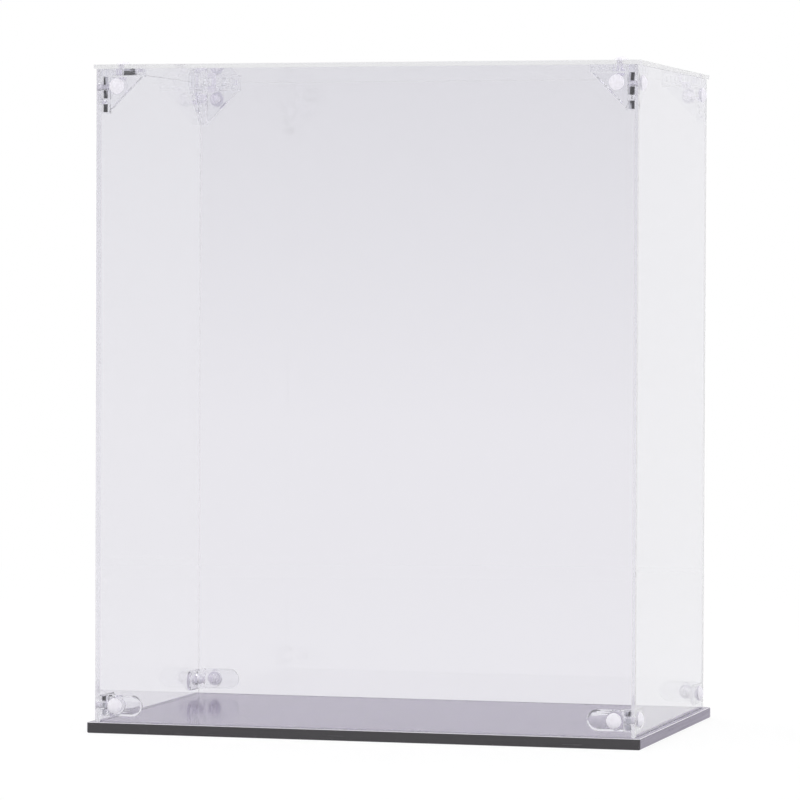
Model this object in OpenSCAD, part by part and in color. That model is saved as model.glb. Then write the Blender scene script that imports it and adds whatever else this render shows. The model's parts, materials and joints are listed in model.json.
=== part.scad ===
// Display case: a clear five-panel cover that stands in a groove round a black base plate.
// Moulded brackets join the panels inside each corner, and push rivets pin the brackets.
// Origin: centre of the underside of the base plate. +Z is up, the front faces -Y.

/* [Display space] */
// Clear width inside the cover
inner_w = 250; // [120:1:500]
// Clear depth inside the cover
inner_d = 150; // [100:1:400]
// Clear height from the base plate to the top panel
inner_h = 300; // [100:1:500]

/* [Clear panels] */
// Thickness of the clear sheet
panel_t = 2; // [1.5:0.1:4]
// How far the top panel reaches past the walls
top_lip = 1; // [0:0.1:3]

/* [Base plate] */
// Thickness of the base plate
base_t = 5; // [4:0.5:12]
// How far the base plate reaches past the walls
base_lip = 3; // [2:0.5:20]
// Depth of the groove that the walls stand in
groove_depth = 1.2; // [0.5:0.1:2]
// Gap on each side of a wall in the groove
groove_play = 0.3; // [0.1:0.05:0.6]
// Radius of the base plate's upright corners
base_corner_r = 1; // [0.8:0.1:4]
// Chamfer along the base plate's edges
base_chamfer = 0.4; // [0.1:0.1:0.6]

/* [Corner brackets] */
// Length of a bracket along the panels, from the inside corner
leg = 20.4; // [20:0.1:40]
// Thickness of a bracket's plates
plate_t = 2; // [1.5:0.1:2.5]
// Width of the thick rib along each fold
rib_w = 3.7; // [3.5:0.1:4.5]
// How far the rib runs on past the diagonal edge
rib_run = 0.8; // [0.5:0.1:3]
// Wall left between a rib's pockets and the inside of the case
web_t = 0.7; // [0.5:0.1:1]
// Bevel round the inside edge of a bracket
bracket_bevel = 0.7; // [0.3:0.1:1.2]
// Height of the raised boss round each rivet hole
boss_h = 0.5; // [0.2:0.1:1]
// Radius of that boss
boss_r = 4.1; // [3:0.1:4.5]

/* [Three-way top brackets] */
// Wall left in the corner between the first pockets of two folds
pocket_corner_wall = 0.5; // [0.5:0.1:3]
// Solid rib between two pockets
pocket_gap = 2.6; // [1:0.1:4]
// Wall beyond the last pocket
pocket_end_wall = 0.6; // [0.5:0.1:2]

/* [Two-way bottom brackets] */
// Height of a bottom bracket
arm_h = 9.7; // [9.5:0.1:16]
// Height of a bottom bracket above the base plate
arm_lift = 2.7; // [0.5:0.1:20]
// How far the middle of an arm's crowned inside face stands past its edges
arm_crown = 0.4; // [0.1:0.1:0.5]
// Solid rib between two pockets of a bottom bracket
arm_pocket_gap = 0.9; // [0.8:0.1:2]
// Wall above and below the pockets of a bottom bracket
arm_end_wall = 0.7; // [0.5:0.1:1.5]

/* [Push rivets] */
// Distance from an inside corner to the axis of a rivet in a top bracket
rivet_in = 7.9; // [7.8:0.1:10]
// Distance from an inside corner to the axis of a rivet in a bottom bracket
arm_rivet_in = 7.6; // [7.5:0.1:10]
// Radius of the domed head
head_r = 3.5; // [3:0.1:4]
// Height of the domed head
head_h = 1.9; // [0.8:0.1:2.5]
// Height of the head's upright rim
head_rim = 0.35; // [0.1:0.05:0.6]
// Radius of the stem
stem_r = 1.9; // [1.4:0.1:2.2]
// Gap round the stem in its holes
stem_play = 0.1; // [0.05:0.05:0.3]
// How far the barb stands out past the stem
barb_grip = 0.45; // [0.3:0.05:0.6]
// Length of the barbed tip
barb_len = 2.2; // [1.5:0.1:2.5]
// Width of the slit that lets the tip spring in
slit_w = 0.7; // [0.4:0.1:1]
// Gap between the barb and the bracket
barb_play = 0.05; // [0.02:0.01:0.2]

/* [Hidden] */
$fn = 64;

outer_w = inner_w + 2 * panel_t;
outer_d = inner_d + 2 * panel_t;
base_w = outer_w + 2 * base_lip;
base_d = outer_d + 2 * base_lip;
wall_bottom_z = base_t - groove_depth;
wall_h = inner_h + groove_depth;
ceiling_z = base_t + inner_h;
arm_z = base_t + arm_lift;

pockets = 3;
pocket_depth = rib_w - web_t;
pocket_start = pocket_depth + pocket_corner_wall;
diagonal_sum = leg - rib_run + rib_w;
hole_r = stem_r + stem_play;
grip = panel_t + plate_t + boss_h;
arm_r = arm_h / 2;
crown_r = (arm_r * arm_r + arm_crown * arm_crown) / (2 * arm_crown);
overcut = 1;

// Corners of the cover, named by the sides that meet there: [side of X, side of Y].
FRONT_LEFT = [-1, -1];
FRONT_RIGHT = [1, -1];
BACK_RIGHT = [1, 1];
BACK_LEFT = [-1, 1];
CORNERS = [FRONT_LEFT, FRONT_RIGHT, BACK_RIGHT, BACK_LEFT];

CLEAR = [0.86, 0.87, 0.9, 0.3];
CLEAR_BRACKET = [0.9, 0.9, 0.93, 0.5];
MILKY = [0.95, 0.95, 0.97, 0.9];
BLACK = [0.06, 0.06, 0.07];

// The pockets share out what is left of a length after its walls.
function pocket_len(length, start, end_wall, gap) =
  (length - start - end_wall - (pockets - 1) * gap) / pockets;

// ---- placing ----

// Turns the first octant of a bracket's own frame about Z, from the corner into the case.
module at_corner(corner, z) {
  translate([corner[0] * inner_w / 2, corner[1] * inner_d / 2, z])
    rotate([0, 0, atan2(-corner[1], -corner[0]) - 45])
      children();
}

// A top bracket's frame hangs down from the top panel.
module at_top_corner(corner) {
  at_corner(corner, ceiling_z)
    mirror([0, 0, 1])
      children();
}

module at_bottom_corner(corner) {
  at_corner(corner, arm_z)
    children();
}

// Repeats a shape drawn on the plane z = 0 on all three planes of a corner.
module on_three_planes() {
  for (turn = [0, 120, 240])
    rotate(turn, [1, 1, 1])
      children();
}

// Repeats a shape drawn upright on the plane y = 0 on both walls of a corner.
module on_two_walls() {
  children();
  mirror([1, -1, 0])
    children();
}

module at_arm_rivet() {
  translate([arm_rivet_in, 0, arm_r])
    rotate([-90, 0, 0])
      children();
}

// ---- push rivets ----

// Domed head: a ball's cap on a short upright rim, with its flat side at z = 0.
module rivet_head() {
  cap_h = head_h - head_rim;
  cap_r = (head_r * head_r + cap_h * cap_h) / (2 * cap_h);
  intersection() {
    translate([0, 0, head_h - cap_r])
      sphere(r = cap_r, $fn = 96);
    cylinder(r = head_r, h = head_h);
  }
}

// Push rivet with its head outside the panel at z < 0 and its split tip inside the case.
module rivet() {
  barb_z = grip + barb_play;
  difference() {
    union() {
      mirror([0, 0, 1])
        rivet_head();
      cylinder(r = stem_r, h = barb_z);
      translate([0, 0, barb_z])
        cylinder(r1 = stem_r + barb_grip, r2 = stem_r - barb_grip, h = barb_len);
    }
    translate([-slit_w / 2, -head_r, panel_t])
      cube([slit_w, 2 * head_r, grip + barb_len]);
  }
}

module rivet_hole() {
  translate([0, 0, -panel_t - overcut])
    cylinder(r = hole_r, h = grip + 2 * overcut);
}

module top_rivets(corner) {
  color(MILKY)
    at_top_corner(corner)
      on_three_planes()
        translate([rivet_in, rivet_in, -panel_t])
          rivet();
}

module bottom_rivets(corner) {
  color(MILKY)
    at_bottom_corner(corner)
      on_two_walls()
        at_arm_rivet()
          translate([0, 0, -panel_t])
            rivet();
}

// Every rivet hole of the cover, through panels and brackets alike.
module rivet_holes() {
  for (corner = CORNERS) {
    at_top_corner(corner)
      on_three_planes()
        translate([rivet_in, rivet_in, 0])
          rivet_hole();
    at_bottom_corner(corner)
      on_two_walls()
        at_arm_rivet()
          rivet_hole();
  }
}

// ---- corner brackets ----

// Thick rib that fills the fold between y = 0 and z = 0 along x.
module fold_rib(length) {
  rotate([90, 0, 90])
    linear_extrude(height = length)
      polygon([
        [0, 0],
        [rib_w, 0],
        [rib_w, rib_w - bracket_bevel],
        [rib_w - bracket_bevel, rib_w],
        [0, rib_w]
      ]);
}

// Pockets cored out of a fold rib from its outer corner.
module fold_pockets(length, start, end_wall, gap) {
  size = pocket_len(length, start, end_wall, gap);
  for (i = [0 : pockets - 1])
    translate([start + i * (size + gap), -overcut, -overcut])
      cube([size, pocket_depth + overcut, pocket_depth + overcut]);
}

module boss() {
  cylinder(r = boss_r, h = plate_t + boss_h);
}

// Three-cornered plate on z = 0, bevelled along its diagonal edge.
module gusset() {
  difference() {
    linear_extrude(height = plate_t)
      polygon([
        [0, 0],
        [leg, 0],
        [leg, rib_w],
        [leg - rib_run, rib_w],
        [rib_w, leg - rib_run],
        [rib_w, leg],
        [0, leg]
      ]);
    translate([diagonal_sum / 2, diagonal_sum / 2, plate_t])
      rotate([0, 0, -45])
        rotate([45, 0, 0])
          cube([2 * leg, bracket_bevel * sqrt(2), bracket_bevel * sqrt(2)], center = true);
  }
}

module three_way_bracket() {
  difference() {
    on_three_planes() {
      gusset();
      fold_rib(leg);
      translate([rivet_in, rivet_in, 0])
        boss();
    }
    on_three_planes() {
      fold_pockets(leg, pocket_start, pocket_end_wall, pocket_gap);
      translate([rivet_in, rivet_in, 0])
        rivet_hole();
    }
  }
}

// Round-ended arm upright on y = 0. Its inside face is crowned and bevelled all round.
module arm() {
  straight = leg - arm_r;
  edge_cut = arm_crown + bracket_bevel;
  intersection() {
    rotate([90, 0, 90])
      linear_extrude(height = straight)
        polygon([
          [0, 0],
          [plate_t - edge_cut, 0],
          [plate_t, edge_cut],
          [plate_t, arm_h - edge_cut],
          [plate_t - edge_cut, arm_h],
          [0, arm_h]
        ]);
    translate([-overcut, plate_t - crown_r, arm_r])
      rotate([0, 90, 0])
        cylinder(r = crown_r, h = straight + 2 * overcut, $fn = 180);
  }
  intersection() {
    translate([straight, 0, arm_r])
      rotate([-90, 0, 0]) {
        cylinder(r = arm_r, h = plate_t - edge_cut);
        translate([0, 0, plate_t - edge_cut])
          cylinder(r1 = arm_r, r2 = arm_r - edge_cut, h = edge_cut);
      }
    translate([straight, plate_t - crown_r, arm_r])
      sphere(r = crown_r, $fn = 180);
    translate([straight, -overcut, -overcut])
      cube([arm_r + overcut, plate_t + 2 * overcut, arm_h + 2 * overcut]);
  }
}

module two_way_bracket() {
  difference() {
    union() {
      on_two_walls() {
        arm();
        at_arm_rivet()
          boss();
      }
      rotate([0, -90, 0])
        mirror([0, 0, 1])
          fold_rib(arm_h);
    }
    rotate([0, -90, 0])
      mirror([0, 0, 1])
        fold_pockets(arm_h, arm_end_wall, arm_end_wall, arm_pocket_gap);
    on_two_walls()
      at_arm_rivet()
        rivet_hole();
  }
}

module top_bracket(corner) {
  color(CLEAR_BRACKET)
    at_top_corner(corner)
      three_way_bracket();
}

module bottom_bracket(corner) {
  color(CLEAR_BRACKET)
    at_bottom_corner(corner)
      two_way_bracket();
}

// ---- clear panels ----

module sheet(width, depth, height, place) {
  color(CLEAR)
    difference() {
      translate(place - [width / 2, depth / 2, 0])
        cube([width, depth, height]);
      rivet_holes();
    }
}

module front_panel() {
  sheet(outer_w, panel_t, wall_h, [0, -(inner_d + panel_t) / 2, wall_bottom_z]);
}

module back_panel() {
  sheet(outer_w, panel_t, wall_h, [0, (inner_d + panel_t) / 2, wall_bottom_z]);
}

module left_panel() {
  sheet(panel_t, inner_d, wall_h, [-(inner_w + panel_t) / 2, 0, wall_bottom_z]);
}

module right_panel() {
  sheet(panel_t, inner_d, wall_h, [(inner_w + panel_t) / 2, 0, wall_bottom_z]);
}

module top_panel() {
  sheet(outer_w + 2 * top_lip, outer_d + 2 * top_lip, panel_t, [0, 0, ceiling_z]);
}

// ---- base plate ----

// Straight run of the plate along x, bevelled on both long sides.
module bevelled_run(length, width) {
  rotate([90, 0, 90])
    linear_extrude(height = length, center = true)
      polygon([
        [-width / 2, base_chamfer],
        [-width / 2 + base_chamfer, 0],
        [width / 2 - base_chamfer, 0],
        [width / 2, base_chamfer],
        [width / 2, base_t - base_chamfer],
        [width / 2 - base_chamfer, base_t],
        [-width / 2 + base_chamfer, base_t],
        [-width / 2, base_t - base_chamfer]
      ]);
}

module bevelled_post() {
  cylinder(r1 = base_corner_r - base_chamfer, r2 = base_corner_r, h = base_chamfer);
  translate([0, 0, base_chamfer])
    cylinder(r = base_corner_r, h = base_t - 2 * base_chamfer);
  translate([0, 0, base_t - base_chamfer])
    cylinder(r1 = base_corner_r, r2 = base_corner_r - base_chamfer, h = base_chamfer);
}

module wall_groove() {
  translate([0, 0, wall_bottom_z])
    linear_extrude(height = groove_depth + overcut)
      difference() {
        square([outer_w + 2 * groove_play, outer_d + 2 * groove_play], center = true);
        square([inner_w - 2 * groove_play, inner_d - 2 * groove_play], center = true);
      }
}

module base_plate() {
  straight_w = base_w - 2 * base_corner_r;
  straight_d = base_d - 2 * base_corner_r;
  color(BLACK)
    difference() {
      union() {
        bevelled_run(straight_w, base_d);
        rotate([0, 0, 90])
          bevelled_run(straight_d, base_w);
        for (side_x = [-1, 1], side_y = [-1, 1])
          translate([side_x * straight_w / 2, side_y * straight_d / 2, 0])
            bevelled_post();
      }
      wall_groove();
    }
}

base_plate();
front_panel();
back_panel();
left_panel();
right_panel();
top_panel();
top_bracket(FRONT_LEFT);  // top_bracket_front_left
top_bracket(FRONT_RIGHT);  // top_bracket_front_right
top_bracket(BACK_RIGHT);  // top_bracket_back_right
top_bracket(BACK_LEFT);  // top_bracket_back_left
bottom_bracket(FRONT_LEFT);  // bottom_bracket_front_left
bottom_bracket(FRONT_RIGHT);  // bottom_bracket_front_right
bottom_bracket(BACK_RIGHT);  // bottom_bracket_back_right
bottom_bracket(BACK_LEFT);  // bottom_bracket_back_left
top_rivets(FRONT_LEFT);  // top_rivets_front_left
top_rivets(FRONT_RIGHT);  // top_rivets_front_right
top_rivets(BACK_RIGHT);  // top_rivets_back_right
top_rivets(BACK_LEFT);  // top_rivets_back_left
bottom_rivets(FRONT_LEFT);  // bottom_rivets_front_left
bottom_rivets(FRONT_RIGHT);  // bottom_rivets_front_right
bottom_rivets(BACK_RIGHT);  // bottom_rivets_back_right
bottom_rivets(BACK_LEFT);  // bottom_rivets_back_left
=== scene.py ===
"""Finishes for the display case: clear polished sheet, clear moulded brackets, milky push rivets
and a gloss black base plate, in a plain white studio. All lengths are in metres."""

import json
from math import copysign, radians, sqrt

import bmesh
import bpy
from mathutils import Matrix, Vector

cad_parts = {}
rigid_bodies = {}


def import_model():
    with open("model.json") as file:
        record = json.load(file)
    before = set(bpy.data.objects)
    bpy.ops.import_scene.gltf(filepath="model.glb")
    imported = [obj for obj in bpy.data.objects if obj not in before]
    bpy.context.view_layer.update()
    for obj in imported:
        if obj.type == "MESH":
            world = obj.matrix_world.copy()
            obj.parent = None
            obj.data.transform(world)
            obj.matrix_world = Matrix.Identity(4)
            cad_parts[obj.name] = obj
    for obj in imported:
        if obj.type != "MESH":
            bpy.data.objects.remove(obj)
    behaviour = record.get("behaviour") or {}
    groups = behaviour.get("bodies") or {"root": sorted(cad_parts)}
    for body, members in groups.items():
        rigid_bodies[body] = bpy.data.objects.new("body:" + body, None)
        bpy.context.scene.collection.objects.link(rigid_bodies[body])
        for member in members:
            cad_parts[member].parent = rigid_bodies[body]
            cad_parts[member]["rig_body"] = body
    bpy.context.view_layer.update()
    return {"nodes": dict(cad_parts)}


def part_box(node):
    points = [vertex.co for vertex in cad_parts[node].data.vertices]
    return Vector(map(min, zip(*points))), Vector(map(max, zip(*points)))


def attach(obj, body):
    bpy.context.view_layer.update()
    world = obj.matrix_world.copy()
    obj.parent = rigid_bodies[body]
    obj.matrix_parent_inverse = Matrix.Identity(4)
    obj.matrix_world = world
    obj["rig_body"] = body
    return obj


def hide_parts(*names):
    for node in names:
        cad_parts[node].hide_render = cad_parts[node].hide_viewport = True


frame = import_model()

MM = 0.001

CORNER_NAMES = ("front_left", "front_right", "back_right", "back_left")
PANEL_NAMES = ("front_panel", "back_panel", "left_panel", "right_panel", "top_panel")


def inside_of_case():
    """Lowest and highest corner of the clear space between the panels and over the base plate."""
    low = Vector((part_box("left_panel")[1][0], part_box("front_panel")[1][1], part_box("base_plate")[1][2]))
    high = Vector((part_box("right_panel")[0][0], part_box("back_panel")[0][1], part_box("top_panel")[0][2]))
    return low, high


inside_low, inside_high = inside_of_case()
case_middle = (inside_low + inside_high) / 2


# ---- building materials from nodes ----

MOST_OF_NOISE = (0.3, 0.7)  # most values of a noise texture lie between these
HEART_OF_NOISE = (0.35, 0.65)


def new_finish(name):
    """A material with one Principled shader. Returns the material and that shader."""
    material = bpy.data.materials.new(name)
    material.use_nodes = True
    nodes = material.node_tree.nodes
    nodes.clear()
    output = nodes.new("ShaderNodeOutputMaterial")
    shader = nodes.new("ShaderNodeBsdfPrincipled")
    material.node_tree.links.new(shader.outputs["BSDF"], output.inputs["Surface"])
    return material, shader


def set_shader(shader, **values):
    """Sets plain values on the shader's own sockets, such as Roughness=0.1."""
    for name, value in values.items():
        shader.inputs[name.replace("_", " ")].default_value = value


def join(material, source, target):
    material.node_tree.links.new(source, target)


def object_place(material, scale=(1, 1, 1), turn=(0, 0, 0)):
    """Object coordinates, scaled and turned."""
    nodes = material.node_tree.nodes
    coordinates = nodes.new("ShaderNodeTexCoord")
    mapping = nodes.new("ShaderNodeMapping")
    mapping.inputs["Scale"].default_value = scale
    mapping.inputs["Rotation"].default_value = turn
    join(material, coordinates.outputs["Object"], mapping.inputs["Vector"])
    return mapping.outputs["Vector"]


def noise(material, place, scale, detail=2.0):
    texture = material.node_tree.nodes.new("ShaderNodeTexNoise")
    texture.inputs["Scale"].default_value = scale
    texture.inputs["Detail"].default_value = detail
    join(material, place, texture.inputs["Vector"])
    return texture.outputs["Fac"]


def spread(material, source, from_low, from_high, to_low, to_high):
    """Maps one range of values onto another and clamps the result."""
    node = material.node_tree.nodes.new("ShaderNodeMapRange")
    node.inputs["From Min"].default_value = from_low
    node.inputs["From Max"].default_value = from_high
    node.inputs["To Min"].default_value = to_low
    node.inputs["To Max"].default_value = to_high
    join(material, source, node.inputs["Value"])
    return node.outputs["Result"]


def blend_colours(material, amount, first, second):
    """Mixes two colours by an amount between 0 and 1."""
    node = material.node_tree.nodes.new("ShaderNodeMix")
    node.data_type = "RGBA"
    node.inputs["A"].default_value = (*first, 1)
    node.inputs["B"].default_value = (*second, 1)
    join(material, amount, node.inputs["Factor"])
    return node.outputs["Result"]


def tint_by(material, shader, pattern, first, second):
    """Runs the shader's colour from one tint to another as the pattern goes from 0 to 1."""
    join(material, blend_colours(material, pattern, first, second), shader.inputs["Base Color"])


def dull_by(material, shader, pattern, least, most, between=MOST_OF_NOISE):
    """Runs the shader's roughness from least to most over a part of the pattern's range."""
    join(material, spread(material, pattern, *between, least, most), shader.inputs["Roughness"])


def mix_shaders(tree, first, second):
    """Mixes two shaders. Returns the mix, whose Fac is still to be set."""
    mix = tree.nodes.new("ShaderNodeMixShader")
    tree.links.new(first, mix.inputs[1])
    tree.links.new(second, mix.inputs[2])
    return mix


def set_surface(material, shader_output):
    """Gives the material a surface in place of the one it has."""
    output = next(n for n in material.node_tree.nodes if n.type == "OUTPUT_MATERIAL")
    join(material, shader_output, output.inputs["Surface"])


# ---- finishes ----

ACRYLIC_IOR = 1.49
BLACK_IOR = 1.6
MOULDING_IOR = 1.58
RIVET_IOR = 1.5
SHEET_SHADE_FROM = 0.45  # share of the height above which the sheet's tint runs to its top value, a painted shade
EDGE_SPARKLE = 0.015  # how much the tint of a cut edge varies
STREAK_SOFTNESS = 0.12
STREAK_TURN = radians(9)


def polished_sheet(name, low_tint, high_tint):
    """Clear cast sheet with painted shade: its tint runs from one value to another towards the top."""
    material, shader = new_finish(name)
    set_shader(shader, Transmission_Weight=1.0, IOR=ACRYLIC_IOR, Roughness=0.0)
    split = material.node_tree.nodes.new("ShaderNodeSeparateXYZ")
    join(material, object_place(material), split.inputs["Vector"])
    height = spread(material, split.outputs["Z"], inside_low.z, inside_high.z, 0, 1)
    tint_by(material, shader, spread(material, height, SHEET_SHADE_FROM, 1, 0, 1), low_tint, high_tint)
    return material


def cut_edge(name, tint, haze):
    """Edge of a clear sheet, with a haze and fine marks left across it by the cutter."""
    material, shader = new_finish(name)
    set_shader(shader, Transmission_Weight=1.0, IOR=ACRYLIC_IOR)
    marks = noise(material, object_place(material), scale=900.0)
    dull_by(material, shader, marks, *haze)
    tint_by(material, shader, marks, tint, [min(1, value + EDGE_SPARKLE) for value in tint])
    return material


def clear_plastic(name, grain, dullest, low_tint, high_tint):
    """Clear moulded plastic with the slight unevenness of a mould's skin."""
    material, shader = new_finish(name)
    set_shader(shader, Transmission_Weight=1.0, IOR=MOULDING_IOR)
    skin = noise(material, object_place(material), scale=grain)
    dull_by(material, shader, skin, 0.0, dullest, between=HEART_OF_NOISE)
    tint_by(material, shader, skin, low_tint, high_tint)
    return material


def painted_pocket_reflection(name, dark, light, along, threshold):
    """Painted reflection on the inside of a cored pocket: dark mirrored streaks along the fold, painted into
    the wall's colour.
    """
    material, shader = new_finish(name)
    set_shader(shader, IOR=MOULDING_IOR, Specular_IOR_Level=0.2)
    place = object_place(material, scale=along, turn=(0, STREAK_TURN, 0))
    streaks = noise(material, place, scale=520.0, detail=1.0)
    amount = spread(material, streaks, threshold, threshold + STREAK_SOFTNESS, 0, 1)
    tint_by(material, shader, amount, dark, light)
    dull_by(material, shader, streaks, 0.15, 0.35)
    return material


def milky_plastic(name, passed, roughness):
    """Milky moulded plastic that passes a share of the light, but no clear image."""
    material, shader = new_finish(name)
    set_shader(shader, Transmission_Weight=0.12, IOR=RIVET_IOR)
    cloud = noise(material, object_place(material), scale=420.0, detail=3.0)
    milk = blend_colours(material, cloud, (0.96, 0.948, 0.985), (0.99, 0.98, 1.0))
    join(material, milk, shader.inputs["Base Color"])
    dull_by(material, shader, cloud, *roughness)
    passing = material.node_tree.nodes.new("ShaderNodeBsdfTranslucent")
    join(material, milk, passing.inputs["Color"])
    mix = mix_shaders(material.node_tree, shader.outputs["BSDF"], passing.outputs["BSDF"])
    mix.inputs["Fac"].default_value = passed
    set_surface(material, mix.outputs["Shader"])
    return material


def gloss_black():
    """Broad face of the black base plate: glossy, softened by handling and wiping."""
    material, shader = new_finish("gloss black sheet")
    set_shader(
        shader,
        IOR=BLACK_IOR,
        Specular_Tint=(0.97, 0.95, 1.0, 1),
        Sheen_Weight=0.14,
        Sheen_Tint=(0.5, 0.2, 1.0, 1),
        Sheen_Roughness=0.4,
    )
    haze = noise(material, object_place(material, scale=(1, 3, 1)), scale=30.0, detail=5.0)
    dull_by(material, shader, haze, 0.09, 0.13, between=(0.35, 0.7))
    tint_by(material, shader, haze, (0.012, 0.011, 0.015), (0.018, 0.016, 0.022))
    return material


def black_cut_edge():
    """Cut edge of the black base plate: satin, with faint lines along the cut."""
    material, shader = new_finish("black cut edge")
    set_shader(
        shader,
        IOR=BLACK_IOR,
        Sheen_Weight=0.30,
        Sheen_Tint=(0.6, 0.4, 1.0, 1),
        Sheen_Roughness=0.4,
    )
    lines = noise(material, object_place(material, scale=(0.02, 0.02, 1)), scale=900.0)
    dull_by(material, shader, lines, 0.16, 0.28)
    tint_by(material, shader, lines, (0.020, 0.018, 0.021), (0.026, 0.023, 0.028))
    bump = material.node_tree.nodes.new("ShaderNodeBump")
    bump.inputs["Strength"].default_value = 0.1
    bump.inputs["Distance"].default_value = 0.02 * MM
    join(material, lines, bump.inputs["Height"])
    join(material, bump.outputs["Normal"], shader.inputs["Normal"])
    return material


def milled_face_and_painted_highlight(name, dark, light):
    """Pale matt face of the base plate: the groove, which the cutter left pale, and the rim at the top of
    the chamfer, which is a painted highlight.
    """
    material, shader = new_finish(name)
    set_shader(shader, IOR=ACRYLIC_IOR)
    cuts = noise(material, object_place(material), scale=1500.0)
    dull_by(material, shader, cuts, 0.45, 0.65)
    tint_by(material, shader, cuts, dark, light)
    return material


# ---- shaping pieces from the built ones ----

MERGE = 0.001 * MM
FLAT = radians(0.6)
SHARP = radians(32)
LARGEST_CURVE_FACET = 1.5 * MM * MM  # facets of the round holes, bosses and domes are smaller


def joined_copy(node):
    """The built piece's surface as one skin, with its flat faces whole."""
    skin = bmesh.new()
    skin.from_mesh(frame["nodes"][node].data)
    bmesh.ops.remove_doubles(skin, verts=skin.verts, dist=MERGE)
    bmesh.ops.dissolve_limit(skin, angle_limit=FLAT, verts=skin.verts, edges=skin.edges)
    return skin


def part_level(skin, height):
    """Parts the faces that pass through a height, so that each half takes its own finish."""
    bmesh.ops.bisect_plane(
        skin,
        geom=skin.verts[:] + skin.edges[:] + skin.faces[:],
        dist=MERGE,
        plane_co=(0, 0, height),
        plane_no=(0, 0, 1),
    )


def sharp_edges(skin):
    return [e for e in skin.edges if len(e.link_faces) == 2 and e.calc_face_angle() > SHARP]


def ease_edges(skin, width, segments=2):
    """Rounds over the sharp edges. The flat faces stay flat, and only the curves are shaded smooth."""
    for face in skin.faces:
        face.smooth = face.calc_area() < LARGEST_CURVE_FACET
    eased = bmesh.ops.bevel(
        skin,
        geom=sharp_edges(skin),
        offset=width,
        offset_type="OFFSET",
        segments=segments,
        profile=0.5,
        affect="EDGES",
        clamp_overlap=True,
        material=-1,
    )
    for face in eased["faces"]:
        face.smooth = True


def draw_in(skin, gap):
    """Makes a piece smaller by the gap on every side."""
    low = Vector([min(v.co[i] for v in skin.verts) for i in range(3)])
    high = Vector([max(v.co[i] for v in skin.verts) for i in range(3)])
    middle = (low + high) / 2
    scale = Vector([(h - l - 2 * gap) / (h - l) for l, h in zip(low, high)])
    bmesh.ops.translate(skin, verts=skin.verts, vec=-middle)
    bmesh.ops.scale(skin, verts=skin.verts, vec=scale)
    bmesh.ops.translate(skin, verts=skin.verts, vec=middle)


def make_piece(skin, name, node, materials):
    """Turns a skin into a piece that stands for the built node and moves with its body."""
    for edge in sharp_edges(skin):
        edge.smooth = False
    mesh = bpy.data.meshes.new(name)
    skin.to_mesh(mesh)
    skin.free()
    for material in materials:
        mesh.materials.append(material)
    piece = bpy.data.objects.new(name, mesh)
    bpy.context.scene.collection.objects.link(piece)
    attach(piece, frame["nodes"][node]["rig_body"])
    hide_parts(node)


# ---- the panels ----

AIR_GAP = 0.04 * MM  # air left between a panel and whatever it touches
EASED_SHEET = 0.06 * MM
SQUARE_ON = 0.99  # share of a broad face's direction that lies across the sheet, at least
# The panels are one clear acrylic; their tints, set apart by panel and by height, are painted shade.
PAINTED_WALL_TINTS = ((0.895, 0.889, 0.914), (0.842, 0.838, 0.866))
TINTS = {  # painted shade: each panel's tint near the base plate and near the top
    "front_panel": PAINTED_WALL_TINTS,
    "back_panel": PAINTED_WALL_TINTS,
    "left_panel": ((0.915, 0.912, 0.930), (0.930, 0.930, 0.945)),
    "right_panel": ((0.860, 0.860, 0.880), (0.872, 0.870, 0.896)),
    "top_panel": ((0.930, 0.930, 0.940), (0.930, 0.930, 0.940)),
}
EDGE_HAZE = (0.20, 0.24)
WALL_EDGE_TINT = (0.945, 0.945, 0.955)
TOP_EDGE_TINT = (0.790, 0.790, 0.805)


def make_panel(node, edge_finish):
    skin = joined_copy(node)
    draw_in(skin, AIR_GAP)
    low, high = (Vector(corner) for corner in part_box(node))
    thin = min(range(3), key=lambda i: high[i] - low[i])
    ease_edges(skin, EASED_SHEET)
    skin.normal_update()
    for face in skin.faces:
        face.material_index = 0 if abs(face.normal[thin]) > SQUARE_ON else 1
    sheet_finish = polished_sheet(f"polished sheet, {node.replace('_', ' ')}", *TINTS[node])
    make_piece(skin, node.replace("panel", "sheet"), node, [sheet_finish, edge_finish])


# ---- the corner brackets ----

EASED_MOULDING = 0.12 * MM
POCKET_DEPTH = 3.0 * MM  # how far a bracket's pockets reach in from the panels
POCKET_CLEAR = 0.1 * MM
MIDDLE_POCKET = (9 * MM, 16 * MM)  # a fold's middle pocket and the rib past it, from the corner
PAINTED_DARK_FROM = 0.6  # share of a bottom bracket's height above which its pockets take the dark painted reflection
FACING = 0.9  # share of a face's direction that points at the front, at least
BEVEL_PLAY = 0.02
ARM_EDGE = 1.6 * MM  # how far the edges of an arm's inside face stand off the panel
ARM_CROWN = 0.41 * MM  # a little more than its middle stands above its edges
# Painted reflection in the pockets: the colours of its dark and pale streaks, then how the streaks are
# stretched.
PAINTED_DARK_REFLECTION = (0.02, 0.02, 0.026)
PAINTED_LEVEL_REFLECTION = (0.10, 0.10, 0.11)
PAINTED_PALE_REFLECTION = (0.62, 0.62, 0.67)
UPRIGHT_STREAKS = (1, 1, 0.18)
LEVEL_STREAKS = (0.1, 1, 2.2)
CLEAR, BEVEL, PAINTED_DARK_POCKET, PAINTED_PALE_POCKET, PAINTED_LEVEL_POCKET = range(5)  # order of the bracket finishes


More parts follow.
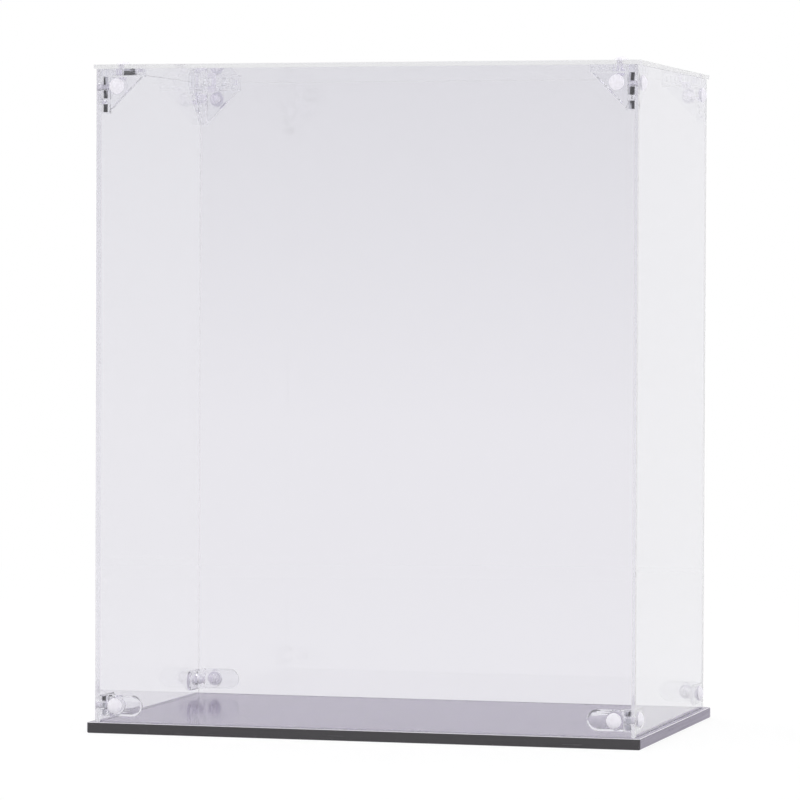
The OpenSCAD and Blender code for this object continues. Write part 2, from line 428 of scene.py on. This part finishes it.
def make_bracket_finishes():
    return [
        clear_plastic("clear moulded plastic", 260.0, 0.02, (0.93, 0.93, 0.95), (0.97, 0.97, 0.98)),
        # bevel tinted clearer than the rest of the moulding: a painted highlight along the bevel
        clear_plastic("clear bevel with painted highlight", 300.0, 0.06, (0.99, 0.99, 1.0), (1.0, 1.0, 1.0)),
        # pocket walls painted with dark and pale streaks: a painted reflection, not the plastic's own colour
        painted_pocket_reflection("painted dark pocket reflection", PAINTED_DARK_REFLECTION, PAINTED_PALE_REFLECTION, UPRIGHT_STREAKS, 0.5),
        painted_pocket_reflection("painted pale pocket reflection", PAINTED_DARK_REFLECTION, PAINTED_PALE_REFLECTION, UPRIGHT_STREAKS, 0.28),
        painted_pocket_reflection("painted level pocket reflection", PAINTED_LEVEL_REFLECTION, PAINTED_PALE_REFLECTION, LEVEL_STREAKS, 0.55),
    ]


def wall_distances(point):
    """How far a point inside the case is from the nearest side wall, end wall and top panel."""
    return (
        min(point.x - inside_low.x, inside_high.x - point.x),
        min(point.y - inside_low.y, inside_high.y - point.y),
        inside_high.z - point.z,
    )


def is_bevel(face):
    """True for the narrow flat bevel along the edge of a moulding."""
    slants = [abs(abs(value) - sqrt(0.5)) < BEVEL_PLAY for value in face.normal]
    diagonal = [abs(abs(value) - 0.5) < BEVEL_PLAY for value in face.normal]
    return sum(slants) == 2 or (sum(diagonal) == 2 and sum(slants) == 1)


def backs_front_pocket(face):
    """True for the wall at the back of a pocket that is seen through the front panel."""
    _, front, _ = wall_distances(face.calc_center_median())
    return abs(front - POCKET_DEPTH) < POCKET_CLEAR and face.normal.y < -FACING


def bracket_finish(face, node):
    """Place in the list of bracket finishes of the one that a face takes. Pocket walls seen through the
    front panel take a painted reflection.
    """
    side, front, below_top = wall_distances(face.calc_center_median())
    if is_bevel(face):
        return BEVEL
    if "front" not in node:
        return CLEAR
    # painted reflection over the middle pocket of the front top fold, on its back wall and on the outer face
    # against the front panel
    if "left" in node and below_top < POCKET_DEPTH and MIDDLE_POCKET[0] < side < MIDDLE_POCKET[1]:
        return PAINTED_LEVEL_POCKET if backs_front_pocket(face) or front < POCKET_CLEAR else CLEAR
    if side > POCKET_DEPTH or not backs_front_pocket(face):
        return CLEAR
    low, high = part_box(node)
    # higher pocket walls take the dark painted reflection, lower ones the pale painted reflection
    shaded = "top" in node or face.calc_center_median().z > low[2] + PAINTED_DARK_FROM * (high[2] - low[2])
    return PAINTED_DARK_POCKET if shaded else PAINTED_PALE_POCKET


def dish_arms(skin):
    """Turns over the crown on the inside face of each arm, into a dish of the same curve."""
    for vertex in skin.verts:
        side, front, _ = wall_distances(vertex.co)
        over_side, over_front = side - ARM_EDGE, front - ARM_EDGE
        if 0 < over_front < ARM_CROWN and over_side > 0:
            vertex.co.y += copysign(2 * over_front, vertex.co.y - case_middle.y)
        if 0 < over_side < ARM_CROWN and over_front > 0:
            vertex.co.x += copysign(2 * over_side, vertex.co.x - case_middle.x)


def make_bracket(node, finishes):
    skin = joined_copy(node)
    if "bottom" in node:
        dish_arms(skin)
    if "top" in node:
        part_level(skin, inside_high.z - POCKET_DEPTH)
    skin.normal_update()
    for face in skin.faces:
        face.material_index = bracket_finish(face, node)
    ease_edges(skin, EASED_MOULDING)
    make_piece(skin, node.replace("bracket", "corner_moulding"), node, finishes)


# ---- the push rivets ----

EASED_RIVET = 0.12 * MM


def make_rivets(node, finish):
    skin = joined_copy(node)
    ease_edges(skin, EASED_RIVET)
    make_piece(skin, node.replace("rivets", "push_rivets"), node, [finish])


# ---- the base plate ----

EASED_BASE = 0.06 * MM
PAINTED_HIGHLIGHT_RIM = 0.2 * MM  # height of the pale strip at the top of the chamfer, a painted highlight
GROOVE_SPARE = 1.0 * MM  # height over the plate's underside above which the groove lies
LEVEL_FROM, UPRIGHT_TO = 0.9, 0.2  # upward share of the direction of a level and of an upright face
BROAD_FACE, CUT_EDGE, GROOVE, RIM = range(4)  # order of the base finishes


def make_base_finishes():
    return [
        gloss_black(),
        black_cut_edge(),
        milled_face_and_painted_highlight("milled groove", (0.45, 0.44, 0.48), (0.58, 0.57, 0.61)),
        # pale matt strip painted at the top of the chamfer as its highlight
        milled_face_and_painted_highlight("pale rim, painted highlight", (0.78, 0.76, 0.81), (0.88, 0.86, 0.91)),
    ]


def lines_groove(face):
    """True for the floor and walls of the groove that the panels stand in."""
    low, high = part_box("top_panel")
    middle = face.calc_center_median()
    under_walls = low[0] < middle.x < high[0] and low[1] < middle.y < high[1]
    return under_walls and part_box("base_plate")[0][2] + GROOVE_SPARE < middle.z < inside_low.z - EASED_BASE


def base_finish(face):
    """Place in the list of base finishes of the one that a face takes."""
    if lines_groove(face):
        return GROOVE
    at_top = face.calc_center_median().z > inside_low.z - PAINTED_HIGHLIGHT_RIM
    # the top of the chamfer takes the painted highlight
    if at_top and UPRIGHT_TO < face.normal.z < LEVEL_FROM:
        return RIM
    return BROAD_FACE if abs(face.normal.z) > UPRIGHT_TO else CUT_EDGE


def make_base(finishes):
    skin = joined_copy("base_plate")
    part_level(skin, inside_low.z - PAINTED_HIGHLIGHT_RIM)
    skin.normal_update()
    for face in skin.faces:
        face.material_index = base_finish(face)
    ease_edges(skin, EASED_BASE)
    make_piece(skin, "gloss_base", "base_plate", finishes)


# ---- studio ----

FLOOR_SIZE = 12.0
SHADOW_FADES = (0.2, 1.2)  # distances at which the floor's shadow starts to fade and is gone
FLOOR_GLOW = (0.84, 1.0)  # share of the floor's own white where it is looked at, near and far
PLAIN_LIGHT = 0.95
WHITE_BACKDROP = 1.0


def seen_by_eye(tree):
    """1 for a ray that the eye sends, straight or through and off clear plastic, and otherwise 0."""
    path = tree.nodes.new("ShaderNodeLightPath")
    seen = path.outputs["Is Camera Ray"]
    for way in ("Is Glossy Ray", "Is Transmission Ray"):
        either = tree.nodes.new("ShaderNodeMath")
        either.operation = "MAXIMUM"
        tree.links.new(seen, either.inputs[0])
        tree.links.new(path.outputs[way], either.inputs[1])
        seen = either.outputs["Value"]
    return seen


def floor_finish():
    """Matt pale floor that looks white to the eye and keeps a soft shadow."""
    material, shader = new_finish("plain pale floor")
    set_shader(shader, Base_Color=(0.93, 0.93, 0.93, 1), Roughness=0.9, Specular_IOR_Level=0.0)
    tree = material.node_tree
    distance = tree.nodes.new("ShaderNodeVectorMath")
    distance.operation = "LENGTH"
    join(material, object_place(material), distance.inputs[0])
    share = tree.nodes.new("ShaderNodeMath")
    share.operation = "MULTIPLY"
    join(material, seen_by_eye(tree), share.inputs[0])
    glow = spread(material, distance.outputs["Value"], *SHADOW_FADES, *FLOOR_GLOW)
    join(material, glow, share.inputs[1])
    white = tree.nodes.new("ShaderNodeEmission")
    mix = mix_shaders(tree, shader.outputs["BSDF"], white.outputs["Emission"])
    join(material, share.outputs["Value"], mix.inputs["Fac"])
    set_surface(material, mix.outputs["Shader"])
    return material


def make_floor():
    """Plain pale floor."""
    skin = bmesh.new()
    bmesh.ops.create_grid(skin, x_segments=1, y_segments=1, size=FLOOR_SIZE / 2)
    mesh = bpy.data.meshes.new("floor")
    skin.to_mesh(mesh)
    skin.free()
    mesh.materials.append(floor_finish())
    floor = bpy.data.objects.new("floor", mesh)
    bpy.context.scene.collection.objects.link(floor)


def white_background(tree, strength):
    background = tree.nodes.new("ShaderNodeBackground")
    background.inputs["Color"].default_value = (1, 1, 1, 1)
    background.inputs["Strength"].default_value = strength
    return background.outputs["Background"]


def make_world():
    """White surroundings for the eye, and a plain level of light for everything else."""
    world = bpy.data.worlds.new("white studio")
    bpy.context.scene.world = world
    world.use_nodes = True
    tree = world.node_tree
    tree.nodes.clear()
    mix = mix_shaders(tree, white_background(tree, PLAIN_LIGHT), white_background(tree, WHITE_BACKDROP))
    tree.links.new(seen_by_eye(tree), mix.inputs["Fac"])
    output = tree.nodes.new("ShaderNodeOutputWorld")
    tree.links.new(mix.outputs["Shader"], output.inputs["Surface"])


def make_softbox(name, place, size, power, seen_through):
    """Large soft lamp that faces the case, and that clear plastic may show or not."""
    lamp = bpy.data.lights.new(name, "AREA")
    lamp.shape = "SQUARE"
    lamp.size = size
    lamp.energy = power
    softbox = bpy.data.objects.new(name, lamp)
    softbox.location = place
    softbox.rotation_euler = (case_middle - Vector(place)).to_track_quat("-Z", "Y").to_euler()
    softbox.visible_transmission = seen_through
    bpy.context.scene.collection.objects.link(softbox)


# ---- camera ----

CAMERA_PLACE = Vector((552.0, -2039.2, 207.4)) * MM
CAMERA_TURN = radians(15.226)
CAMERA_TILT = radians(1.4854)
CAMERA_ROLL = radians(0.236)
CAMERA_LENS = 202.95  # millimetres, on Blender's 36 mm sensor
CAMERA_REACH = 50.0


def make_camera():
    data = bpy.data.cameras.new("camera")
    data.lens = CAMERA_LENS
    data.clip_end = CAMERA_REACH
    camera = bpy.data.objects.new("camera", data)
    upright = Matrix.Rotation(CAMERA_TURN, 4, "Z") @ Matrix.Rotation(radians(90) - CAMERA_TILT, 4, "X")
    camera.matrix_world = Matrix.Translation(CAMERA_PLACE) @ upright @ Matrix.Rotation(CAMERA_ROLL, 4, "Z")
    bpy.context.scene.collection.objects.link(camera)
    bpy.context.scene.camera = camera


# ---- putting it together ----

LONGEST_LIGHT_PATH = 256  # light runs from end to end of a sheet in over a hundred bounces
LONGEST_SOFT_PATH = 32

make_camera()
make_world()
make_floor()
make_softbox("overhead softbox", (0.0, 0.1, 1.7), size=1.2, power=3, seen_through=False)
make_softbox("left softbox", (-0.9, 0.4, 1.6), size=0.7, power=3, seen_through=True)
make_softbox("right softbox", (1.7, -0.2, 0.95), size=0.7, power=3, seen_through=True)
make_softbox("fill softbox", (-1.8, -1.4, 1.6), size=1.4, power=3, seen_through=False)

wall_edge = cut_edge("cut wall edge", WALL_EDGE_TINT, EDGE_HAZE)
top_edge = cut_edge("cut top edge", TOP_EDGE_TINT, EDGE_HAZE)
for panel in PANEL_NAMES:
    make_panel(panel, top_edge if panel == "top_panel" else wall_edge)

bracket_finishes = make_bracket_finishes()
milky = milky_plastic("milky rivet", passed=0.4, roughness=(0.25, 0.35))
for corner in CORNER_NAMES:
    make_bracket(f"top_bracket_{corner}", bracket_finishes)
    make_bracket(f"bottom_bracket_{corner}", bracket_finishes)
    make_rivets(f"top_rivets_{corner}", milky)
    make_rivets(f"bottom_rivets_{corner}", milky)

make_base(make_base_finishes())

scene = bpy.context.scene
scene.view_settings.view_transform = "Standard"
scene.cycles.blur_glossy = 0.0
scene.cycles.max_bounces = LONGEST_LIGHT_PATH
scene.cycles.transmission_bounces = LONGEST_LIGHT_PATH
scene.cycles.glossy_bounces = LONGEST_LIGHT_PATH
scene.cycles.diffuse_bounces = LONGEST_SOFT_PATH
